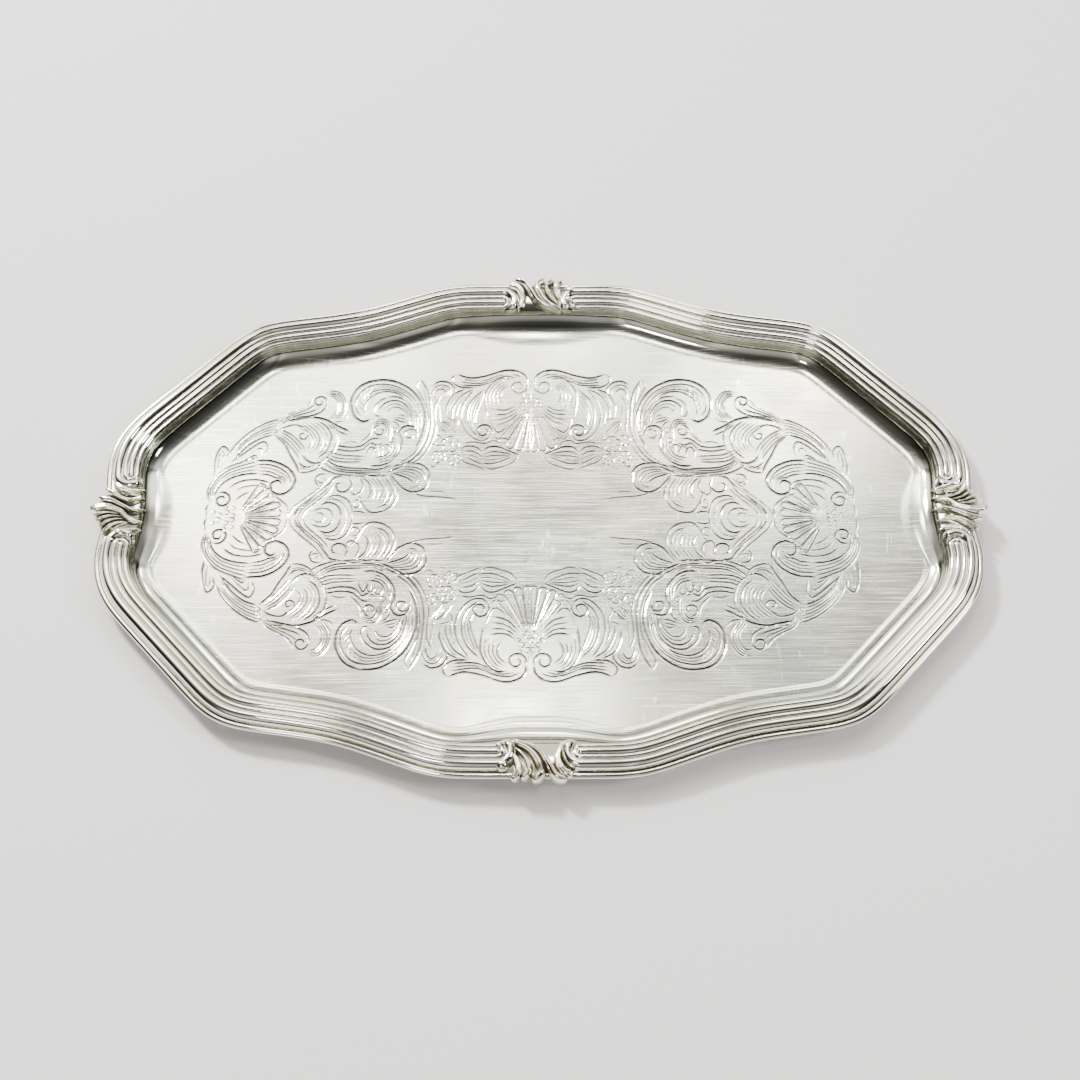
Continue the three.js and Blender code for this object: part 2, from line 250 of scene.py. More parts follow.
class Surface:
    """A procedural material in the making, with short names for the nodes that it needs."""

    def __init__(self, name):
        self.material = bpy.data.materials.new(name)
        self.material.use_nodes = True
        self.tree = self.material.node_tree
        self.tree.nodes.clear()
        self.at = node(self.tree, "ShaderNodeTexCoord").outputs["Object"]

    def noise(self, scale, detail=3.0, stretch=None, turn=0.0):
        vector = self.at
        if stretch or turn:
            vector = node(self.tree, "ShaderNodeMapping", {
                "Vector": self.at, "Rotation": (0, 0, math.radians(turn)), "Scale": stretch or (1, 1, 1),
            }).outputs["Vector"]
        settings = {"Vector": vector, "Scale": scale, "Detail": detail}
        return node(self.tree, "ShaderNodeTexNoise", settings).outputs["Fac"]

    def ramp(self, value, low, high, out_low=0.0, out_high=1.0):
        return node(self.tree, "ShaderNodeMapRange", {
            "Value": value, "From Min": low, "From Max": high, "To Min": out_low, "To Max": out_high,
        }).outputs["Result"]

    def maths(self, kind, a, b):
        return node(self.tree, "ShaderNodeMath", {0: a, 1: b}, operation=kind).outputs[0]

    def plus(self, a, b):
        return self.maths("ADD", a, b)

    def times(self, a, b):
        return self.maths("MULTIPLY", a, b)

    def blend(self, share, a, b):
        return node(self.tree, "ShaderNodeMix", {0: share, 6: a, 7: b}, data_type="RGBA").outputs[2]

    def height(self):
        return node(self.tree, "ShaderNodeSeparateXYZ", {"Vector": self.at}).outputs["Z"]

    def hollows(self):
        settings = {"Distance": HOLLOW_REACH}
        return node(self.tree, "ShaderNodeAmbientOcclusion", settings, samples=6).outputs["AO"]

    def metal(self, colour, rough, relief):
        bump = node(self.tree, "ShaderNodeBump", {"Strength": 0.35, "Distance": MM, "Height": relief})
        shader = node(self.tree, "ShaderNodeBsdfPrincipled", {
            "Base Color": colour, "Metallic": 1.0, "Roughness": rough, "Normal": bump.outputs["Normal"],
        })
        node(self.tree, "ShaderNodeOutputMaterial", {"Surface": shader.outputs["BSDF"]})
        return self.material


def scratch_marks(s, worn):
    """Long thin streaks in a few directions."""
    marks = None
    for turn, weight in SCRATCHES:
        streak = s.ramp(s.noise(60, 2, (0.5, 34, 1), turn), 0.58, 0.68, 0.0, weight)
        marks = streak if marks is None else s.plus(marks, streak)
    return s.times(marks, worn)


def engraved(s, height, below, colour, rough, roughness, dark_tint):
    """The colour and roughness, changed in the cuts: smoother, with a painted highlight of pale warm colour,
    and painted shade at the bottom.
    """
    top = below * MM
    cut_share = s.ramp(height, top - 0.03 * MM, top - 0.005 * MM, 1.0, 0.0)
    rough = s.maths("SUBTRACT", rough, s.times(cut_share, 0.7 * roughness))
    # painted highlight: the cuts are blended towards a pale warm colour
    colour = s.blend(cut_share, colour, PAINTED_CUT_HIGHLIGHT)
    # painted shade: the bottoms of the cuts are blended towards a dark warm tint
    groove_bottom_shade = s.ramp(height, top - 0.15 * MM, top - 0.06 * MM, 0.8, 0.0)
    return s.blend(groove_bottom_shade, colour, (*(0.3 * c for c in dark_tint), 1)), rough


def brushed_relief(s, worn, relief):
    """Fine grain along the tray."""
    grain = s.times(s.noise(110, 3, (0.8, 18, 1)), worn)
    return s.plus(relief, s.times(grain, 0.018))


def brushed_colour(s, worn, scratches, tint, colour):
    """Dull streaks, thin cool tarnish, and bright scratches and nicks."""
    streaks = s.ramp(s.noise(110, 4, (0.5, 20, 1)), 0.35, 0.6, 0.18, 0.0)
    colour = s.blend(s.times(streaks, worn), colour, (*(0.45 * c for c in tint), 1))
    cool = s.ramp(s.noise(13, 3), 0.46, 0.66, 0.0, 0.5)
    colour = s.blend(cool, colour, COOL_TINT)
    nicks = s.ramp(s.noise(420, 1, (1, 0.3, 1), 35), 0.66, 0.72, 0.0, 0.8)
    nicks = s.times(s.times(nicks, worn), s.ramp(s.noise(24, 2), 0.45, 0.6))
    return s.blend(s.plus(s.times(scratches, 0.55), nicks), colour, BARE_SILVER)


def silver(name, tint, dark_tint, roughness, hollow_shading=0.7, wear=0.0, floor_height=None):
    """Silver plate: warm tarnished patches, painted shade in the hollows and a roughness that wanders.

    With a floor height, it is also brushed, worn and engraved there, and polished above.
    """
    s = Surface(name)
    worn = 1.0
    if floor_height is not None:
        height = s.height()
        low = (floor_height + 0.05) * MM
        worn = s.ramp(height, low, low + 2 * MM, 1.0, 0.15)
    patches = s.ramp(s.noise(28, 4), 0.42, 0.68)
    # painted shade: occluded places are blended towards a warm dark, and made rougher
    hollow_shade = s.ramp(s.hollows(), 0.35, 0.9, hollow_shading, 0.0)
    colour = s.blend(s.times(patches, 0.5), (*tint, 1), (*dark_tint, 1))
    colour = s.blend(hollow_shade, colour, PAINTED_HOLLOW_SHADE)

    scratches = scratch_marks(s, worn)
    rough = s.ramp(s.noise(45, 5), 0.3, 0.7, roughness * 0.75, roughness * 1.35)
    if floor_height is not None:
        rough = s.plus(s.times(rough, worn), 0.05)
    rough = s.plus(rough, s.times(scratches, 0.10 * wear))
    rough = s.plus(rough, s.times(hollow_shade, 0.25))
    relief = s.times(s.noise(16, 2), 0.25)
    relief = s.plus(relief, s.times(scratches, -0.012 * wear))
    if floor_height is not None:
        colour, rough = engraved(s, height, floor_height, colour, rough, roughness, dark_tint)
        relief = brushed_relief(s, worn, relief)
        colour = brushed_colour(s, worn, scratches, tint, colour)
    return s.metal(colour, rough, relief)


FLOOR_SILVER = silver("floor_silver", (0.68, 0.67, 0.55), (0.60, 0.54, 0.38), 0.15,
                      hollow_shading=0.2, wear=1.0, floor_height=SHEET)
BORDER_SILVER = silver("border_silver", (0.96, 0.94, 0.82), (0.86, 0.79, 0.60), 0.08)
CAST_SILVER = silver("cast_silver", (0.95, 0.93, 0.81), (0.84, 0.76, 0.57), 0.09)


# ---- the engraving ----
# One quarter of the pattern, x and y in mm from its centre; the other three are its mirror images.

PATTERN_CENTRE = (-3.5, 0.5)
PATTERN_REACH = (143.5, 79.5)
PATTERN_SQUARENESS = 2.6  # 2 is an ellipse; more fills the corners
GROOVE_SLOPES = (0.26, 0.40, 0.32)  # depth over half width, in turn from stroke to stroke
TAPER = 2.2  # mm over which a stroke's ends run out
CUT_WIDTH = 2.0  # a groove's half width over the stroke's nominal one
SAMPLE_STEP = 0.12  # mm between the places where a groove's depth is known
SAMPLE_REACH = 0.6  # mm within which a groove is looked for, at least its half width
NOISE_DEPTH = 0.004  # shallower cuts are left out
STROKE_STEP = 0.8  # mm between points along a stroke
STRAND_POINTS = 40
STROKES = []  # (points, widest half-width)


def spline(points, step=STROKE_STEP):
    """A smooth curve through given points, at an even step."""
    p = np.array(points, float)
    ends = np.vstack([2 * p[0] - p[1], p, 2 * p[-1] - p[-2]])
    rows = []
    for a, b, c, d in zip(ends, ends[1:], ends[2:], ends[3:]):
        t = np.linspace(0, 1, 12, endpoint=False)[:, None]
        rows.append(0.5 * (2 * b + (c - a) * t + (2 * a - 5 * b + 4 * c - d) * t**2
                           + (3 * b - a - 3 * c + d) * t**3))
    fine = np.vstack(rows + [p[-1:]])
    along = np.concatenate([[0], np.cumsum(np.hypot(*np.diff(fine, axis=0).T))])
    count = max(3, round(along[-1] / step) + 1)
    even = np.linspace(0, along[-1], count)
    return np.column_stack([np.interp(even, along, fine[:, k]) for k in (0, 1)])


def cut(points, half=0.3):
    STROKES.append((spline(points), half))


def strands(a, b, count, half=0.26, trim=(0.0, 0.0), ends=True):
    """Curves spread evenly from curve a to curve b; trim shortens the middle ones at start and end."""
    a, b = spline(a, 0.5), spline(b, 0.5)
    t = np.linspace(0, 1, STRAND_POINTS)
    last = STRAND_POINTS - 1

    def resample(c):
        own = np.linspace(0, 1, len(c))
        return np.column_stack([np.interp(t, own, c[:, k]) for k in (0, 1)])

    a, b = resample(a), resample(b)
    for i in range(count):
        share = i / (count - 1)
        if not ends and i in (0, count - 1):
            continue
        curve = a + (b - a) * share
        middle = math.sin(math.pi * share)
        low = round(last * trim[0] * middle)
        high = last - round(last * trim[1] * middle)
        edge = i in (0, count - 1)
        STROKES.append((spline(curve[low:high + 1:3]), half * (1.15 if edge else 0.85)))


def volute(x, y, radius, start, turns, half=0.3):
    """A spiral that winds in from its radius; positive turns go anticlockwise."""
    count = max(8, round(abs(turns) * 14))
    t = np.linspace(0, 1, count + 1)
    angle = np.radians(start) + 2 * math.pi * turns * t
    r = radius * (1 - 0.72 * t)
    cut(np.column_stack([x + r * np.cos(angle), y + r * np.sin(angle)]), half)


def ring(x, y, radius, half=0.22, squash=1.0):
    angle = np.linspace(0, 2 * math.pi, 11)
    cut(np.column_stack([x + radius * np.cos(angle), y + squash * radius * np.sin(angle)]), half)


def blossom(x, y, radius, petals=5, turn=0.0, half=0.24):
    """Round petals about a bead."""
    ring(x, y, radius * 0.28)
    for k in range(petals):
        a = math.radians(turn) + 2 * math.pi * k / petals
        spread = math.pi / petals * 0.86
        reach = [(0.36, -1), (0.8, -1), (1.0, -0.45), (1.0, 0.45), (0.8, 1), (0.36, 1)]
        cut([(x + radius * r * math.cos(a + s * spread), y + radius * r * math.sin(a + s * spread))
             for r, s in reach], half)


def shell(x, y, start, stop, inner, outer, flutes, half=0.28):
    """Flutes that fan from a point between two directions, each with a round end and a rib."""
    step = (stop - start) / flutes
    for k in range(flutes):
        a = math.radians(start + step * (k + 0.5))
        w = math.radians(abs(step)) / 2 * 0.82
        shape = [(inner, -0.6), (0.5 * (inner + outer), -1), (outer * 0.93, -1), (outer, -0.4),
                 (outer, 0.4), (outer * 0.93, 1), (0.5 * (inner + outer), 1), (inner, 0.6)]
        cut([(x + r * math.cos(a + s * w), y + r * math.sin(a + s * w)) for r, s in shape], half)
        rib = (inner * 1.1, outer * 0.55, outer * 0.8)
        cut([(x + r * math.cos(a), y + r * math.sin(a)) for r in rib], half * 0.7)


def hatch(a, b, count, bend=0.15, half=0.22, reach=0.8):
    """Short bowed strokes from evenly spread points of curve a towards those of curve b."""
    a, b = spline(a, 0.5), spline(b, 0.5)
    for i in range(count):
        share = (i + 0.5) / count
        p = a[round(share * (len(a) - 1))]
        q = p + (b[round(share * (len(b) - 1))] - p) * reach
        side = np.array([p[1] - q[1], q[0] - p[0]]) * bend
        cut([p, (p + q) / 2 + side, q], half)


def long_side_shell():
    ring(1.3, 61.5, 1.2)
    ring(3.4, 59.2, 1.1)
    ring(1.1, 57.2, 1.0)
    ring(4.3, 62.2, 0.9)
    ring(5.0, 57.0, 0.9)
    ring(2.8, 55.2, 0.8)
    volute(5.6, 66.6, 4.2, 150, 1.3, 0.34)
    cut([(1.6, 68.2), (2.4, 72.2), (6.5, 75.0), (12, 75.2), (20, 72.4), (27, 71.2), (33.5, 73.2)], 0.34)
    cut([(33.5, 73.2), (35.4, 71.2), (34.6, 68.2), (31, 66.2), (25, 66)], 0.34)
    strands([(4, 71.6), (8.5, 73.2), (14, 72.6), (22, 69.6), (32, 70.6)],
            [(9, 70.6), (13, 71), (17, 69.4), (23, 67.2), (31.5, 67.4)], 3)
    strands([(9.6, 67.4), (12.6, 65.2), (13.6, 61.4), (11.8, 57.6)],
            [(10, 72.4), (16.4, 69.4), (20.4, 62), (19.4, 51)], 5, trim=(0.1, 0.15))
    strands([(21, 65), (26.8, 58.4), (28.2, 50), (25.8, 43.2), (21, 39.2)],
            [(21, 62.6), (22.6, 58), (24.4, 52.6), (24.8, 47.8), (23.2, 45.2)], 4, trim=(0.1, 0.2))
    cut([(25, 65.4), (29.4, 58.8), (31, 51.6), (29.6, 45), (25.4, 39.6), (20.6, 38.4), (17.4, 41.2)], 0.34)
    volute(20.9, 43.2, 4.0, 215, -1.35, 0.34)
    strands([(25.6, 65.4), (31.4, 61.4), (34.6, 55), (34.8, 49.6)],
            [(29, 65.4), (34.4, 62.6), (37.2, 57), (37.4, 52.2)], 3, trim=(0.1, 0.15))
    cut([(31.6, 57.6), (33, 52.4), (32.4, 47.4), (34.2, 44.2)], 0.26)
    shell(0, 57.5, -92, -52, 5.4, 24.8, 4)
    cut([(0.3, 54), (0.5, 44), (0.4, 34)], 0.2)
    strands([(6.4, 56.4), (11, 54.2), (16.4, 54.6)], [(5, 53), (9.6, 48.4), (15.4, 46.4)], 4, half=0.28)
    cut([(10.2, 45.4), (14.2, 42.6), (16.6, 44.8), (18.2, 49.6)], 0.26)
    cut([(8.4, 37.4), (12, 39.6), (14.6, 39), (16.8, 41.4)], 0.26)


def inner_spray():
    cut([(5.2, 31), (8, 27), (12.6, 25), (17.2, 23.8), (20.4, 25)], 0.3)
    cut([(5.2, 31), (10.4, 33.4), (14.6, 35.2), (18.4, 35), (21, 32.4)], 0.3)
    strands([(7.4, 30.6), (12, 28.2), (17, 26.6), (22, 27)],
            [(8, 31.4), (13, 32.4), (17, 32.6), (21, 31)], 4, half=0.24)
    cut([(20, 23.6), (25, 25.8), (29.4, 27.6), (32.6, 31)], 0.3)
    cut([(21, 32.4), (24.6, 35.2), (28.6, 35.4), (31, 33.4)], 0.28)
    strands([(20.6, 26), (25, 28), (29, 30.4)], [(21.6, 30.4), (25.4, 32.8), (29.4, 33)], 3, half=0.24)
    cut([(12, 36.6), (16.6, 38.4), (20, 36.8), (25, 37.6), (29.6, 37)], 0.26)


def flowers():
    blossom(35.6, 36.4, 4.0, 5, 20)
    blossom(40.4, 30.2, 3.0, 5, 60)
    blossom(33.4, 28.6, 2.8, 5, 0)
    blossom(41.2, 38.4, 2.6, 5, 35)
    cut([(35.2, 25.6), (37.4, 23.8), (39.2, 25.4)], 0.24)
    cut([(40.4, 26.2), (42.8, 25), (44.4, 27)], 0.24)
    cut([(32.4, 41.2), (35.2, 44.8), (39.4, 48), (38.6, 44.2), (36.6, 41.2)], 0.28)
    strands([(34.4, 43), (36, 46.6), (40, 49.4)], [(37.4, 42.2), (39.4, 44), (41, 47.2)], 3, half=0.22)
    cut([(32, 47.8), (34.6, 49.4), (38, 50)], 0.24)


def tall_leaf():
    cut([(34.4, 61.6), (34.2, 65.6), (36.8, 68.6), (40.6, 69.4), (44, 67.4)], 0.32)
    strands([(36, 62), (36.4, 65.4), (39, 67.4), (42.4, 66.6), (44.8, 62)],
            [(38, 61.8), (38.4, 64.2), (40.2, 65.4), (42, 64.2), (43.2, 60)], 3, half=0.24)
    cut([(49.6, 70.4), (46.4, 64.8), (45, 59.2), (44.2, 50.4), (44.2, 44), (46, 36.8), (49.8, 30.6),
         (56, 25.4), (63.4, 21.8)], 0.38)
    cut([(49.6, 70.4), (51.2, 66.8), (49, 61.6), (46.6, 56), (45.8, 50.2), (46, 44), (48, 37.2),
         (51.4, 31.4), (57.6, 26.6)], 0.32)
    cut([(48.4, 66.4), (47, 60), (45.6, 53), (45.2, 47)], 0.2)
    cut([(40.2, 61.6), (42.4, 56.8), (42.6, 50.2), (42, 44), (43.6, 37.6), (47.6, 30.2), (53, 25.6)], 0.3)
    cut([(41.2, 58.8), (40.4, 52.6), (40, 47.6)], 0.22)


def great_scroll():
    cut([(50.6, 34.4), (48, 40.6), (46.9, 47.6), (47.8, 54.4), (50.8, 61.4), (56, 66.6), (63, 69.9),
         (70.4, 69.8), (76, 67.2), (79.5, 61.8), (80, 55.6), (77.8, 50.4), (74, 48.2), (70.8, 49.6)], 0.4)
    strands([(48.6, 45), (49.2, 53), (52.6, 60.6), (59, 66), (66.6, 67.9), (73.6, 66), (77.6, 60.4),
             (77.8, 54.6), (75.4, 51)],
            [(50, 43), (50.8, 51), (53.6, 57.6), (58.6, 62.4), (65, 64), (70.6, 61.8), (73.6, 57.4),
             (74, 53.8), (73.2, 51.6)], 4, trim=(0.12, 0.2))
    cut([(51, 42.6), (51.4, 49.6), (53.4, 56), (57.8, 60.4), (63.2, 61.2), (67.6, 58.6), (69.6, 54.8),
         (68.8, 51.4), (66.2, 51)], 0.36)
    strands([(52.4, 47), (54.2, 54.6), (58.6, 58.8), (63.4, 58.8), (66.6, 56), (67, 53.2)],
            [(53.2, 46), (55, 52), (58.4, 55.4), (61.6, 55.4), (63.6, 53.6), (64.4, 52)], 3, trim=(0.1, 0.1))
    hatch([(67, 66.8), (72, 64.6), (75.8, 60.2), (76, 55)],
          [(70.4, 61.4), (72.4, 59), (73.4, 56.4), (73, 53)],
          5, 0.2, reach=0.9)
    strands([(55, 50.6), (57.4, 51.6), (60, 51)], [(54.4, 47.6), (58, 48.4), (61.6, 50)], 3, half=0.26)
    volute(53.2, 41.4, 3.4, 200, -1.2, 0.34)
    cut([(49.9, 40.6), (51.6, 45.2), (55.6, 45.8), (58, 42.6), (56.8, 38.6), (57.2, 33.4), (60.4, 28.6),
         (65, 25.8), (70.4, 25.6)], 0.36)
    volute(66.6, 43.4, 3.2, 100, -1.1, 0.34)
    strands([(62, 38.4), (62, 45.6), (64.6, 49.2), (69.2, 48.8)],
            [(64, 41), (63.8, 45), (66, 47.4), (69.4, 46.8)], 3, half=0.28)
    cut([(70, 46.6), (70.6, 42.4), (73.4, 38.8), (75.6, 37.2)], 0.34)
    strands([(57.8, 44.4), (59.4, 47.4), (62, 48.6)], [(58.6, 41), (60.2, 42.6), (61.4, 42.4)], 3, half=0.24)
    ring(61.4, 38.6, 1.2)
    ring(60, 44, 0.9)


def low_acanthus():
    strands([(58.6, 38.8), (58.4, 33), (61.6, 28.8), (66.6, 27)],
            [(60.4, 36.4), (61.6, 33), (64, 30.6), (68.2, 29.6)], 3, half=0.26)
    for x, y, lean in ((63.4, 34.4, 0), (66.6, 33, 0.5), (69.6, 32.2, 1.0)):
        cut([(x - 1.6, y - 2.2), (x - 1.2, y + 1.2), (x + 0.4, y + 2 + lean),
             (x + 2, y + 0.6), (x + 2.2, y - 2)],
            0.3)
        cut([(x - 0.2, y - 2.2), (x + 0.2, y + 0.8)], 0.22)
    cut([(64.4, 37.4), (67.4, 36), (70.4, 37), (73.6, 33.8), (79.4, 33), (86.2, 34.2)], 0.36)
    cut([(66, 39.4), (70, 39.2), (74.6, 35.6), (80, 35), (86.6, 36.2)], 0.3)
    cut([(75.4, 37.4), (79.4, 37.8), (83.4, 36.8)], 0.24)
    strands([(72.6, 30.2), (78, 30.6), (84, 31.2), (89.2, 33.4)],
            [(73.6, 27.6), (80, 27.4), (86, 28.2), (90.4, 31)], 3, half=0.26)
    strands([(57.6, 26.6), (63.6, 22.8), (71, 22), (80, 22.2), (86, 24), (91.6, 28.6)],
            [(60.4, 26.2), (66, 23.8), (73, 24.2), (80.6, 24.6), (86, 26.2), (90.6, 29.6)], 3, half=0.3)
    cut([(63.4, 21.8), (70, 20.4), (77, 20.6), (84, 21.4), (89.4, 23.4), (94, 26.6)], 0.34)


def round_leaf():
    cut([(44.2, 17.6), (44.4, 22.6), (48, 26.2), (54, 27), (60.4, 25)], 0.36)
    cut([(44.2, 17.6), (46, 14.2), (50.4, 12.4), (55, 14), (58.6, 17.8), (61.4, 21.6)], 0.36)
    strands([(45.8, 18.4), (46.6, 22.2), (50, 24.6), (56, 24.8), (60.6, 23.6)],
            [(50.6, 16.6), (52.6, 18.6), (55, 20), (57.6, 21), (60.8, 22)], 5, half=0.26, trim=(0.0, 0.12))
    strands([(47.4, 16.6), (49.6, 15), (52.6, 15.2)], [(48.6, 18.6), (50, 17.2), (51.6, 17.2)], 2, half=0.22)
    cut([(53, 12.6), (46, 10.6), (38, 10), (32, 9.2)], 0.24)
    cut([(44.6, 12.6), (40, 12.8), (36, 12.2)], 0.2)


def low_leaf():
    cut([(62, 20.8), (58.6, 15.4), (57.8, 9.8), (60.2, 5.2), (64.8, 2.6), (69.4, 2.8), (72.2, 6.2),
         (73.8, 9.8), (75.8, 13.2)], 0.36)
    cut([(62, 20.8), (68, 20.4), (74.8, 21.6), (79.4, 20.2)], 0.3)
    strands([(63.6, 20), (60.4, 14.6), (60.2, 9.8), (62.4, 6.4), (66.4, 4.8)],
            [(73.6, 20), (70.4, 17.2), (69.2, 13.4), (69.4, 10.6), (70.8, 8.6)],
            6, half=0.25, trim=(0.0, 0.1))
    cut([(74.6, 19.8), (72.8, 16.4), (73.4, 12.8), (76.4, 11.2), (78, 13.4), (76.8, 15.4)], 0.32)
    volute(75.2, 6.4, 2.6, 60, 1.1, 0.3)
    cut([(70.4, 2), (74, 3), (77.4, 2.2)], 0.26)


def palmette():
    strands([(76.4, 0), (77.2, 5.4), (79.6, 9.2), (84, 10.8), (88, 9.6)],
            [(81.4, 0), (82, 3.8), (84, 6.4), (87.4, 7.4), (90.4, 6)], 3, half=0.28)
    strands([(84.4, 0), (86, 3.4), (89.6, 4.6), (94, 3)], [(88, 0), (89.2, 1.8), (91.2, 2.2), (93.2, 1)], 2,
            half=0.24)
    cut([(78.8, 19.6), (77.8, 15.4), (80.4, 12.6), (83.6, 13.4), (84, 16.4), (81.8, 17.2)], 0.32)
    cut([(80, 20.6), (84.6, 19.8), (86.6, 17.4), (90.8, 12.4), (95.4, 8), (99.6, 3.8), (101.4, 0)], 0.36)
    strands([(85.4, 15), (88.2, 11.4), (92.4, 7.4), (96.2, 3.8), (97.8, 0)],
            [(87, 20), (92, 14), (97.6, 9), (102, 4.6), (104, 0)], 4, half=0.28, trim=(0.1, 0.0))
    cut([(88.4, 21.6), (92.2, 21), (93.4, 17.8), (91.6, 15.4)], 0.3)
    volute(90.6, 18.6, 2.0, 40, -1.0, 0.26)


def crescent():
    strands([(85.6, 49), (82.6, 53.6), (83, 59.6), (86, 63.6), (90.6, 64.2)],
            [(89.6, 49.6), (86.4, 53), (86, 58.2), (88.4, 61.4), (91, 61.4)], 4, half=0.28)
    volute(94.2, 58.6, 3.2, 190, -1.2, 0.32)
    cut([(90.8, 58.8), (91.6, 55), (94.6, 52.4), (99.4, 50.8), (108, 50.4)], 0.34)
    strands([(96.8, 60.6), (99.8, 56.6), (104.4, 53.6), (109, 51), (111.4, 47)],
            [(94.4, 55), (97.6, 53.4), (102.4, 51.8), (107.4, 49.4), (110, 46.6)], 3, half=0.26)
    cut([(80.8, 51.4), (83.4, 48.6), (88, 47.8)], 0.28)


def rose():
    cut([(79.8, 43), (85.6, 46), (91, 49.2), (97.4, 50.6), (103, 49.6), (108.4, 48.4)], 0.38)
    cut([(80.4, 41), (86, 43.8), (90.4, 47)], 0.28)
    cut([(90.4, 48.6), (86.4, 44.8), (85, 39.4), (86.4, 33), (90, 28.6), (93.8, 26.8), (97.6, 28.2),
         (100.4, 31.4)], 0.38)
    strands([(94, 48.6), (89.4, 44.4), (87.8, 39.4), (89.4, 33.2), (93.4, 29.4)],
            [(103.4, 46.6), (98, 42.6), (96.2, 39.6), (96.4, 36.4), (98.4, 34)],
            6, half=0.26, trim=(0.0, 0.08))
    volute(100.4, 41, 2.4, 130, 1.2, 0.28)
    cut([(99.4, 44.4), (103.4, 46.4), (108, 45.6), (111.6, 43.4)], 0.3)
    strands([(110.6, 44.2), (105, 41), (100.6, 36.2), (98.6, 32.6)],
            [(112.6, 41.4), (107.6, 37.6), (103.4, 32.6), (101, 29.2)], 4, half=0.28, trim=(0.08, 0.08))
    cut([(112.8, 41), (108.2, 36.6), (105.4, 31.2), (102.8, 26.8), (100.8, 22.2)], 0.34)
    for x, y in ((112.6, 48), (113, 45.6), (113, 43.2)):
        ring(x, y, 0.9)
    strands([(90.4, 28.4), (93, 24.4), (97, 22.4), (101, 22.2)],
            [(94.4, 26), (96.4, 25), (99, 25.2), (101.6, 27.6)], 3, half=0.26)


def outer_spray():
    strands([(111.4, 49.6), (117.8, 47), (124.2, 42.4), (129.4, 36.4), (132, 31.4)],
            [(113.4, 41.4), (118.6, 39.6), (123.6, 36.2), (127.4, 31.8), (130, 27.6)], 6, half=0.27,
            trim=(0.0, 0.1))
    cut([(116.4, 30.4), (115.6, 34.6), (117, 37.8), (120.6, 36), (126, 31.4), (130.6, 27.6)], 0.34)
    strands([(118, 31), (118.2, 34.6), (121.6, 32.6), (126, 28.6)],
            [(119.4, 29.6), (120.4, 31), (122.6, 29.8), (126, 27)], 2, half=0.24)
    cut([(133, 28.4), (132.6, 33.2), (135, 35.4), (137, 32.2), (138, 26), (137.6, 20.4)], 0.34)
    cut([(134.4, 27.6), (134.4, 31.8), (135.6, 32.6), (136.2, 27), (136, 22.6)], 0.24)


def end_scroll():
    cut([(119.8, 28.4), (112.4, 27.8), (106, 24.6), (102.4, 19.4), (103.4, 14.2), (107.6, 11.4),
         (111.8, 12.8), (112.4, 16.6), (109.6, 18.2), (107.6, 16.4)], 0.38)
    strands([(119.6, 26.4), (112.6, 25.8), (107, 22.8), (104.4, 18.8), (105, 15.4)],
            [(118, 21.6), (113.8, 21), (110.6, 19.6), (108, 19.2), (106.4, 17)],
            4, half=0.26, trim=(0.0, 0.1))
    strands([(119.6, 29.8), (126, 27.4), (132.4, 24.4), (137, 19.6), (139.4, 13.4), (138.6, 7)],
            [(118.4, 21.8), (124, 21.4), (129.6, 19.6), (133.8, 16.4), (135.8, 13), (136.4, 9.6)],
            5, half=0.28)
    cut([(112.8, 17.2), (119, 18.6), (125.6, 17.8), (130.6, 14.6)], 0.3)
    cut([(113, 14.8), (118.6, 15.8), (124.6, 14.8), (128.6, 12)], 0.26)


def end_shell():
    volute(133, 8.6, 4.0, 60, 1.35, 0.34)
    for x, y, r in ((130.4, 2.6, 1.1), (133.4, 1.2, 1.1), (127.8, 1.1, 1.0), (127.8, 4.6, 0.9),
                    (136, 2.6, 0.9), (131, 5.2, 0.8)):
        ring(x, y, r)
    shell(126.6, 0, 179, 118, 4.4, 19.6, 5)
    cut([(104.4, 0), (105, 5.6), (109, 9.4), (114.4, 12)], 0.32)
    cut([(121, 12.8), (124.4, 11), (127.4, 8.2)], 0.26)
    cut([(138.6, 7), (139.4, 3.4), (138.8, 0)], 0.3)


def engraving():
    STROKES.clear()
    for part in (long_side_shell, inner_spray, flowers, tall_leaf, great_scroll, low_acanthus,
                 round_leaf, low_leaf, palmette, crescent, rose, outer_spray, end_scroll, end_shell):
        part()
    return STROKES


def pattern_edge(count=64):
    """The quarter outline round the engraved field, from the X axis to the Y axis."""
    t = np.linspace(0, math.pi / 2, count)
    power = 2 / PATTERN_SQUARENESS
    x = PATTERN_REACH[0] * np.cos(t).clip(0) ** power
    y = PATTERN_REACH[1] * np.sin(t) ** power
    rows = np.column_stack([x, y])
    rows[-1, 0] = 0
    return rows


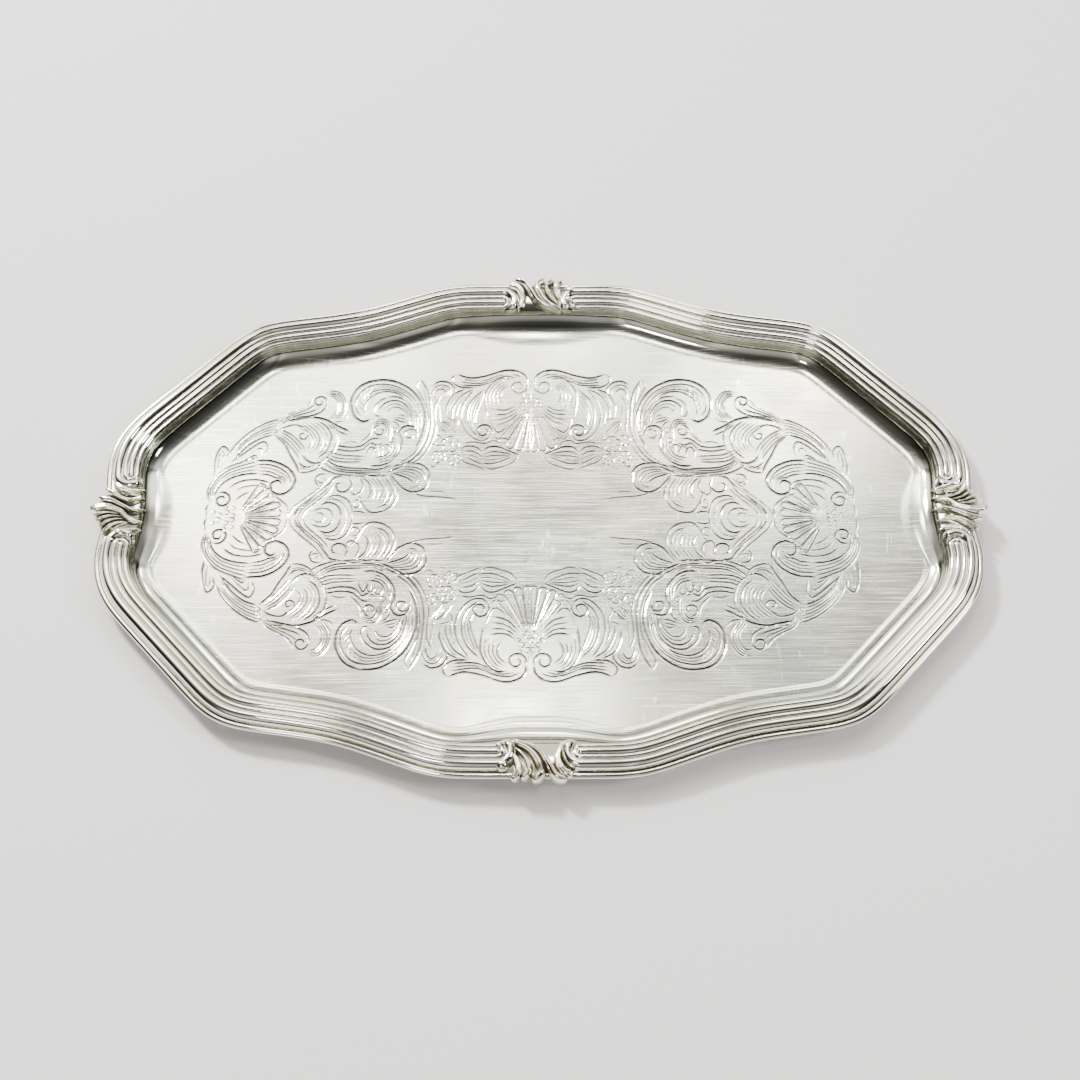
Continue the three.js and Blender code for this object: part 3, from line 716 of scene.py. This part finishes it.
def engraved_quarter():
    """Points and triangles of a quarter of the field, cut with V-shaped grooves."""
    points = []
    edges = []

    def chain(rows):
        start = len(points)
        points.extend(Vector((max(x, 0), max(y, 0))) for x, y in rows)
        edges.extend((i, i + 1) for i in range(start, len(points) - 1))

    edge = pattern_edge()
    chain(edge)
    chain([edge[-1], (0, 0), edge[0]])
    samples = []
    for number, (path, half) in enumerate(engraving()):
        slope = GROOVE_SLOPES[number % len(GROOVE_SLOPES)]
        step = np.gradient(path, axis=0)
        step /= np.hypot(*step.T)[:, None]
        side = np.column_stack([-step[:, 1], step[:, 0]])
        along = np.concatenate([[0], np.cumsum(np.hypot(*np.diff(path, axis=0).T))])
        from_end = np.minimum(along, along[-1] - along)
        width = CUT_WIDTH * half * np.clip((from_end + 0.1) / TAPER, 0.12, 1) ** 0.7
        chain(path)
        chain(path + side * width[:, None])
        chain(path - side * width[:, None])
        count = max(2, int(along[-1] / SAMPLE_STEP))
        at = np.linspace(0, along[-1], count)
        cut_rows = [np.interp(at, along, column) for column in (*path.T, width)]
        samples.extend(zip(*cut_rows, np.full(count, slope)))
    tree = KDTree(len(samples))
    for i, (x, y, *_) in enumerate(samples):
        tree.insert((x, y, 0), i)
    tree.balance()
    flat, _, triangles, *_ = delaunay_2d_cdt(points, edges, [], 0, 1e-4, False)
    rows = []
    for x, y in flat:
        near = tree.find_range((x, y, 0), SAMPLE_REACH)
        depth = max((samples[i][3] * (samples[i][2] - distance) for _, i, distance in near), default=0)
        rows.append((x, y, -max(depth - NOISE_DEPTH, 0)))
    return np.array(rows), triangles


# ---- the sheet ----

COVE_STEPS = 40
COVE_STEEPEST = 86  # degrees, at the top of the cove
COVE_REEDS = 4
COVE_REED_DEPTH = 0.42
COVE_FOOT = 0.8  # how far past the cove the floor's own mesh begins
UNDER_COVE = 0.4  # how much the cove's underside is lower than its top, besides the sheet
COVE_REEDS_FROM = (-5, 60)  # how far to the front the cove's reeds begin, and have their whole depth


def cove_section(stations):
    """Distances in from the edge and heights above the floor across the cove, from its top."""
    drop = np.radians(np.linspace(COVE_STEEPEST, 0, COVE_STEPS + 1))[:, None]
    across = np.linspace(0, 1, COVE_STEPS + 1)[:, None]
    reeds = COVE_REED_DEPTH * (abs(np.sin(math.pi * COVE_REEDS * across)) - 0.5)
    reeds = reeds * smoothstep(across, 0.0, 0.12) * (1 - smoothstep(across, 0.8, 1.0))
    reeds = reeds * smoothstep(-stations[:, 1], *COVE_REEDS_FROM)
    inward = COVE_IN + cove_width(stations) * (1 - np.sin(drop)) + reeds * np.sin(drop)
    return inward, COVE_TOP * (1 - np.cos(drop)) + reeds * np.cos(drop)


def inside(polygon, at):
    """Whether each row of at lies inside the polygon."""
    x, y = at[:, 0], at[:, 1]
    odd = np.zeros(len(at), bool)
    for (x0, y0), (x1, y1) in zip(polygon, np.roll(polygon, -1, axis=0)):
        if y0 != y1:
            crosses = (y0 > y) != (y1 > y)
            odd ^= crosses & (x < (x1 - x0) * (y - y0) / (y1 - y0) + x0)
    return odd


def floor(made, boundary):
    """The flat of the tray: a plain margin round the engraved field."""
    first = len(made.faces)
    centre = np.array(PATTERN_CENTRE)
    rows, triangles = engraved_quarter()
    for sx, sy in ((1, 1), (-1, 1), (-1, -1), (1, -1)):
        ids = made.add(rows * (sx, sy, 1) + (*centre, SHEET))
        made.faces.extend(tuple(ids[i] for i in triangle) for triangle in triangles)
    edge = pattern_edge()
    field = np.vstack([edge[:-1], (edge[:0:-1] * (-1, 1)), (edge[:-1] * (-1, -1)), edge[:0:-1] * (1, -1)])
    field += centre
    loops = np.vstack([boundary, field])
    count = len(boundary)
    edges = [(i, (i + 1) % count) for i in range(count)]
    edges += [(count + i, count + (i + 1) % len(field)) for i in range(len(field))]
    flat, _, triangles, *_ = delaunay_2d_cdt([Vector(p) for p in loops], edges, [], 0, 1e-4, False)
    flat = np.array([tuple(p) for p in flat])
    middles = flat[np.array(triangles)].mean(axis=1)
    keep = inside(boundary, middles) & ~inside(field, middles)
    ids = made.add(np.column_stack([flat, np.full(len(flat), SHEET)]))
    made.faces.extend(tuple(ids[i] for i in t) for t, kept in zip(triangles, keep) if kept)
    made.flat.update(range(first, len(made.faces)))


def sheet():
    made = Mesher()
    angles = np.radians(np.linspace(COVE_STEEPEST, 0, COVE_STEPS + 1))
    width = cove_width(RING)
    rows = [
        in_from(RING, *FLANGE["outer"]),
        in_from(RING, *FLANGE["inner"]),
    ]
    rows += [in_from(RING, inward, height) for inward, height in zip(*cove_section(RING))]
    rows.append(in_from(RING, COVE_IN + width + COVE_FOOT, 0))
    under = [in_from(RING, FLANGE["outer"][0], FLANGE["outer"][1] - SHEET)]
    for a in angles[::2]:
        inward = COVE_IN - SHEET + (width + SHEET) * (1 - math.sin(a))
        under.append(in_from(RING, inward, (COVE_TOP - UNDER_COVE) * (1 - math.cos(a)) - SHEET))
    top_rows = [made.add(row) for row in rows]
    low_rows = [made.add(row) for row in under]
    for a, b in zip(top_rows, top_rows[1:]):
        made.bridge(a, b, closed=True)
    for a, b in zip(low_rows, low_rows[1:]):
        made.bridge(b, a, closed=True)
    made.bridge(low_rows[0], top_rows[0], closed=True)
    made.fan(low_rows[-1][::-1], made.add([(0, 0, 0)])[0])
    floor(made, rows[-1][:, :2])
    return made.object("tray_sheet", FLOOR_SILVER, ["tray_body"])


# ---- edge wire ----

WIRE_SIDES = 16


def edge_wire():
    made = Mesher()
    sections = []
    for k in range(WIRE_SIDES):
        angle = 2 * math.pi * k / WIRE_SIDES
        inward = WIRE_RADIUS * (1 - math.cos(angle))
        height = WIRE_HEIGHT + WIRE_RADIUS * math.sin(angle)
        sections.append(made.add(in_from(RING, inward, height)))
    for k in range(WIRE_SIDES):
        made.bridge(sections[k], sections[(k + 1) % WIRE_SIDES], closed=True)
    return made.object("lapped_edge", BORDER_SILVER, ["edge_wire"])


# ---- reeded border ----

REED_ROUND = 56  # degrees that a reed's back turns on each side of its top
SCROLL_RAYS = 36  # steps in the half turn of a scrolled end


def reed(centre, half, foot_in, foot_out, rise, steps, first=-1.0):
    """The back of one reed as rows of distance and height, from its inner foot to its outer foot."""
    t = np.linspace(first, 1, steps)
    round_ = math.radians(REED_ROUND)
    reach = centre + half * np.sin(t * round_) / math.sin(round_)
    share = (reach - centre + half) / (2 * half)
    swell = (np.cos(t * round_) - math.cos(round_)) / (1 - math.cos(round_))
    return np.column_stack([reach, foot_in + (foot_out - foot_in) * share + rise * swell])


# Profiles from the top of the middle reed: outwards to the wide bead, and inwards to the cove.
OUTWARD = np.vstack([
    reed(0, 1.5, 9.2, 9.2, 0.75, 5, first=0)[:-1],
    reed(2.5, 1.0, 9.2, 9.4, 0.65, 9)[:-1],
    reed(5.85, 2.35, 9.4, 8.0, 2.2, 17),
    [(8.22, 7.4), (8.22, 7.2)],
])
INWARD = np.vstack([
    reed(0, 1.5, 8.6, 8.6, 1.35, 5, first=0)[:-1],
    reed(2.5, 1.0, 8.4, 7.6, 0.7, 9)[:-1],
    np.column_stack([np.linspace(3.5, 3.7, 17), np.linspace(7.6, 6.95, 17)]),
    [(3.72, 6.8), (3.72, 6.5)],
])


def ray_profile(turn):
    """The border's profile along a ray from the middle reed: turn 0 is outwards, 1 is inwards."""
    fade = smoothstep(turn, 0.62, 1.0)
    early = smoothstep(turn, 0.0, 1.0)
    mixed = OUTWARD + (INWARD - OUTWARD) * fade
    inner = slice(0, 12)
    mixed[inner, 1] = OUTWARD[inner, 1] + (INWARD[inner, 1] - OUTWARD[inner, 1]) * early
    return mixed


def border_stations():
    """Stations of a quarter of the edge between the starts of its two scrolls."""
    axis = in_from(QUARTER, REED_IN, 0)
    first = int(np.argmax(axis[:, 0] > SCROLL_FROM["side"]))
    after = int(np.argmax(axis[:, 1] < SCROLL_FROM["end"]))

    def between(i, share):
        row = QUARTER[i] + (QUARTER[i + 1] - QUARTER[i]) * share
        row[2:] /= np.hypot(*row[2:])
        return row

    start = (SCROLL_FROM["side"] - axis[first - 1, 0]) / (axis[first, 0] - axis[first - 1, 0])
    stop = (SCROLL_FROM["end"] - axis[after - 1, 1]) / (axis[after, 1] - axis[after - 1, 1])
    return np.vstack([between(first - 1, start), QUARTER[first:after], between(after - 1, stop)])


def border(name, node_name, sx, sy):
    made = Mesher()
    flip = np.array([sx, sy, 1])
    stations = border_stations()
    centres = in_from(stations, REED_IN, 0)

    def ray(i, turn, side):
        """Points of the profile along a ray that starts at a station's middle reed."""
        angle = math.pi * turn
        nx, ny = stations[i, 2:]
        dx = nx * math.cos(angle) + side * ny * math.sin(angle)
        dy = ny * math.cos(angle) - side * nx * math.sin(angle)
        profile = ray_profile(turn)
        xy = centres[i, :2] + profile[:, :1] * np.array([[dx, dy]])
        return made.add(np.column_stack([xy, SHEET + profile[:, 1]]) * flip)

    outer = [ray(i, 0, 1) for i in range(len(stations))]
    inner = [ray(i, 1, 1) for i in range(len(stations))]
    for rays in (outer, inner):
        for a, b in zip(rays, rays[1:]):
            made.bridge(a, b)
    for i, side in ((0, -1), (len(stations) - 1, 1)):
        rays = [outer[i]]
        rays += [ray(i, k / SCROLL_RAYS, side) for k in range(1, SCROLL_RAYS)]
        rays.append(inner[i])
        for a, b in zip(rays, rays[1:]):
            made.bridge(a, b)
    return made.object(name, BORDER_SILVER, [node_name], crease=38)


# ---- ornaments ----
# A leaf is a spine in (along, out) points, clockwise along the border and out from the edge, with its
# half width, its height above the floor and how deep the hollow down its middle is, 0 to 1.

LEAF_ACROSS = 14  # faces across a leaf's back
LEAF_STEP = 0.45  # mm between stations along a leaf
KNOB_SIDES, KNOB_STEPS = 18, 7
KNOB_FOOT = 6.5

SIDE_LEAVES = [
    ([(-13.6, -1.0), (-9.6, -2.8), (-7.4, -8.2), (-9.4, -15.6)], 2.3, 11.2, 0.25),
    ([(-11.4, 1.0), (-6.6, -0.6), (-3.4, -6.0), (0.8, -11.8), (10.5, -16.0)], 2.1, 12.0, 0.0),
    ([(2.6, 1.8), (-0.9, -1.8), (0.7, -7.4), (4.6, -12.0), (12.6, -15.6)], 2.2, 11.9, 0.0),
    ([(6.8, 1.0), (3.6, -2.4), (5.0, -7.6), (9.6, -12.8)], 1.6, 12.2, 0.0),
    ([(10.8, 1.2), (7.9, -2.0), (8.6, -7.0), (12.6, -12.6)], 1.9, 11.8, 0.3),
]
SIDE_KNOBS = [(14.2, -5.0, 2.8, 11.4), (13.2, -10.0, 1.7, 11.0), (15.6, -13.2, 1.3, 9.8)]
END_LEAVES = [
    ([(-12.6, -3.6), (-11.0, -9.0), (-10.0, -13.0), (-9.4, -16.2)], 2.4, 11.4, 0.0),
    ([(-11.4, -0.4), (-9.2, -2.6), (-6.9, -5.8), (-5.9, -10.4)], 1.05, 11.2, 0.0),
    ([(-9.2, 1.4), (-7.2, -1.2), (-5.3, -4.6), (-4.7, -9.0)], 1.0, 11.5, 0.0),
    ([(-6.8, 3.2), (-5.2, 0.2), (-3.8, -3.4), (-3.6, -8.0)], 1.0, 11.7, 0.0),
    ([(-4.4, 4.8), (-3.2, 1.4), (-2.4, -2.4), (-2.6, -7.0)], 1.0, 11.9, 0.0),
    ([(-0.6, 6.6), (0.8, 0.8), (-1.0, -6.2), (-4.4, -10.4), (-5.8, -16.6)], 2.1, 12.0, 0.3),
    ([(5.0, 3.8), (3.6, -2.6), (1.0, -8.0), (-0.6, -12.6), (0.2, -17)], 1.6, 11.9, 0.0),
    ([(9.8, 1.4), (7.4, -2.4), (4.9, -7.0), (4.2, -11.0), (5.6, -16)], 1.6, 11.7, 0.0),
    ([(12.8, -2.4), (9.8, -6.4), (8.6, -11), (9.8, -15.8)], 1.8, 11.4, 0.2),
]


def leaf_path(points):
    """Stations along a leaf: place, direction to the left and how far along, 0 to 1."""
    path = spline(points, LEAF_STEP)
    step = np.gradient(path, axis=0)
    step /= np.hypot(*step.T)[:, None]
    return path, np.column_stack([-step[:, 1], step[:, 0]]), np.linspace(0, 1, len(path))


def leaf(made, place, points, half, top, hollow):
    """A closed leaf with a round back, a blunt head and a tail that runs out to a point."""
    path, side, t = leaf_path(points)
    head = np.sqrt(1 - (1 - np.clip(t / 0.14, 0, 1)) ** 2)
    tail = np.clip((1 - t) / 0.7, 0, 1) ** 0.4
    width = half * np.maximum(head * tail, 0.02)
    foot = np.interp(path[:, 1], [-14.5, -3.4, -1.4], [6.3, 7.0, 7.7])
    swell = np.interp(t, [0, 0.35, 1], [0.82, 1, 0.8])
    rise = (top - foot) * np.sqrt(np.maximum(head * tail, 0.0)) * swell
    u = np.linspace(-1, 1, LEAF_ACROSS + 1)
    back = (1 - abs(u) ** 2) ** 0.75 * (1 - hollow * 0.6 * np.exp(-((u / 0.34) ** 2)))
    sections = []
    for k in range(len(path)):
        flat = path[k] + side[k] * (u * width[k])[:, None]
        over = [(*place(a, o), SHEET + foot[k] + rise[k] * z) for (a, o), z in zip(flat, back)]
        under = [(*place(*flat[i]), SHEET + foot[k] - 0.5) for i in (-1, 0)]
        sections.append(made.add(over + under))
    for a, b in zip(sections, sections[1:]):
        made.bridge(a, b, closed=True)
    made.faces.append(tuple(sections[0]))
    made.faces.append(tuple(sections[-1][::-1]))


def knob(made, place, along, out, radius, height):
    """A bead that stands on the flange."""
    def circle(r, z):
        turn = [2 * math.pi * i / KNOB_SIDES for i in range(KNOB_SIDES)]
        return made.add([
            (*place(along + r * math.cos(a), out + r * math.sin(a)), SHEET + z) for a in turn
        ])

    rows = []
    for k in range(KNOB_STEPS):
        angle = math.pi / 2 * k / KNOB_STEPS
        rows.append(circle(radius * math.cos(angle), height - radius + radius * math.sin(angle)))
    foot = circle(radius, KNOB_FOOT)
    made.bridge(foot, rows[0], closed=True)
    for a, b in zip(rows, rows[1:]):
        made.bridge(a, b, closed=True)
    made.fan(rows[-1], made.add([(*place(along, out), SHEET + height)])[0])
    made.faces.append(tuple(foot[::-1]))


def side_place(sign):
    return lambda along, out: (sign * along, sign * (HALF_WIDTH + out))


def end_place(sign):
    return lambda along, out: (sign * (HALF_WAIST + out), -sign * along)


def ornament(name, node_name, place, leaves, knobs=()):
    made = Mesher()
    for points, half, top, hollow in leaves:
        leaf(made, place, points, half, top, hollow)
    for along, out, radius, height in knobs:
        knob(made, place, along, out, radius, height)
    return made.object(name, CAST_SILVER, [node_name], crease=50)


# ---- stage, light and camera ----

TABLE_HALF = 3.0  # metres
TABLE_COLOUR = (0.86, 0.83, 0.81, 1)


def stage():
    mesh = bpy.data.meshes.new("table")
    corners = [(x * TABLE_HALF, y * TABLE_HALF, 0) for x, y in ((-1, -1), (1, -1), (1, 1), (-1, 1))]
    mesh.from_pydata(corners, [], [(0, 1, 2, 3)])
    material = bpy.data.materials.new("pale_table")
    material.use_nodes = True
    shader = material.node_tree.nodes["Principled BSDF"]
    shader.inputs["Base Color"].default_value = TABLE_COLOUR
    shader.inputs["Roughness"].default_value = 0.8
    mesh.materials.append(material)
    table = bpy.data.objects.new("table", mesh)
    bpy.context.scene.collection.objects.link(table)


def area_light(name, place, size, power):
    """A lamp that points at the middle of the tray."""
    data = bpy.data.lights.new(name, "AREA")
    data.shape = "RECTANGLE"
    data.size, data.size_y = size
    data.energy = power
    lamp = bpy.data.objects.new(name, data)
    bpy.context.scene.collection.objects.link(lamp)
    lamp.location = place
    lamp.rotation_euler = (-Vector(place)).to_track_quat("-Z", "Y").to_euler()


def sky():
    """A studio for the silver to mirror, brightest behind the tray, in front of a plain backdrop."""
    world = bpy.data.worlds.new("studio")
    world.use_nodes = True
    bpy.context.scene.world = world
    tree = world.node_tree
    tree.nodes.clear()
    direction = node(tree, "ShaderNodeTexCoord").outputs["Generated"]
    parts = node(tree, "ShaderNodeSeparateXYZ", {"Vector": direction}).outputs

    def ramp(value, levels):
        made = node(tree, "ShaderNodeValToRGB", {"Fac": node(tree, "ShaderNodeMapRange", {
            "Value": value, "From Min": -1.0, "From Max": 1.0,
        }).outputs["Result"]})
        stops = made.color_ramp.elements
        stops[1].position = 1.0
        for at, level in levels:
            stop = stops[0] if at == -1 else stops[-1] if at == 1 else stops.new((at + 1) / 2)
            stop.color = (level, level, level, 1)
        return made.outputs["Color"]

    def product(a, b):
        mix = node(tree, "ShaderNodeMix", {0: 1.0, 6: a, 7: b}, data_type="RGBA", blend_type="MULTIPLY")
        return mix.outputs[2]

    light = product(ramp(parts["Y"], SKY_BACK), ramp(parts["X"], SKY_RIGHT))
    light = product(light, ramp(parts["Z"], SKY_UP))
    studio = node(tree, "ShaderNodeBackground", {"Color": light, "Strength": SKY_STRENGTH})
    backdrop = node(tree, "ShaderNodeBackground", {"Color": BACKDROP, "Strength": 1.0})
    seen = node(tree, "ShaderNodeMixShader", {
        0: node(tree, "ShaderNodeLightPath").outputs["Is Camera Ray"],
        1: studio.outputs["Background"], 2: backdrop.outputs["Background"],
    })
    node(tree, "ShaderNodeOutputWorld", {"Surface": seen.outputs["Shader"]})


# How bright the studio is against how far back, right and up a direction points: -1 to 1.
SKY_BACK = [(-1, 0.30), (-0.75, 0.22), (-0.5, 0.04), (-0.2, 0.02), (0.1, 0.07), (0.26, 0.30),
            (0.34, 0.44), (0.42, 0.23), (0.49, 0.20), (0.57, 0.85), (1, 1.0)]
SKY_RIGHT = [(-1, 0.2), (-0.75, 0.4), (-0.6, 1.0), (-0.36, 0.9), (-0.28, 0.5), (-0.2, 1.2),
             (-0.1, 0.6), (0.0, 0.44), (0.1, 0.54), (0.19, 1.0), (0.27, 0.42), (0.42, 0.95),
             (0.6, 0.8), (0.72, 0.3), (1, 0.1)]
SKY_UP = [(-1, 0.04), (0.16, 0.04), (0.36, 1.0), (1, 1.0)]
SKY_STRENGTH = 4.0
BACKDROP = (0.72, 0.72, 0.72, 1)  # what the camera itself sees past the floor
# Place and size in metres, and power. The soft ones glow in patches on the tray's floor.
LAMPS = {
    "key": ((-0.9, 1.1, 1.2), (0.25, 0.25), 56),
    "right_box": ((1.2, -0.1, 0.9), (0.3, 0.2), 9),
    "front_box": ((-0.5, -0.9, 1.6), (0.3, 0.2), 7),
    "soft_left": ((-0.41, 0.66, 1.22), (0.18, 0.18), 1.6),
    "soft_right": ((0.32, 0.82, 1.18), (0.22, 0.22), 2.2),
    "soft_back_left": ((-0.24, 0.92, 1.15), (0.18, 0.18), 1.3),
    "soft_back": ((0.02, 0.95, 1.12), (0.14, 0.14), 1.3),
    "soft_front": ((-0.02, 0.36, 1.26), (0.16, 0.16), 1.9),
}


def lights():
    sky()
    for name, (place, size, power) in LAMPS.items():
        area_light(name, place, size, power)


CAMERA_ELEVATION = 62.66  # degrees above the table
CAMERA_DISTANCE = 0.637  # metres
CAMERA_LENS = 50.0
CAMERA_AIM = (0.0005, -0.0102, 0.0012)


def camera():
    data = bpy.data.cameras.new("camera")
    data.lens = CAMERA_LENS
    data.sensor_width = 36
    data.clip_start = 0.01
    eye = bpy.data.objects.new("camera", data)
    bpy.context.scene.collection.objects.link(eye)
    tilt = math.radians(CAMERA_ELEVATION)
    back = Vector((0, -math.cos(tilt), math.sin(tilt)))
    eye.location = Vector(CAMERA_AIM) + back * CAMERA_DISTANCE
    eye.rotation_euler = (math.pi / 2 - tilt, 0, 0)
    bpy.context.scene.camera = eye


camera()
stage()
lights()
sheet()
edge_wire()
for quarter_name, flip_x, flip_y in [
    ("back_right", 1, 1),
    ("front_right", 1, -1),
    ("front_left", -1, -1),
    ("back_left", -1, 1),
]:
    border("reeds_" + quarter_name, "border_" + quarter_name, flip_x, flip_y)

ornament("leaves_back", "ornament_back", side_place(1), SIDE_LEAVES, SIDE_KNOBS)
ornament("leaves_front", "ornament_front", side_place(-1), SIDE_LEAVES, SIDE_KNOBS)
ornament("leaves_right", "ornament_right", end_place(1), END_LEAVES)
ornament("leaves_left", "ornament_left", end_place(-1), END_LEAVES)
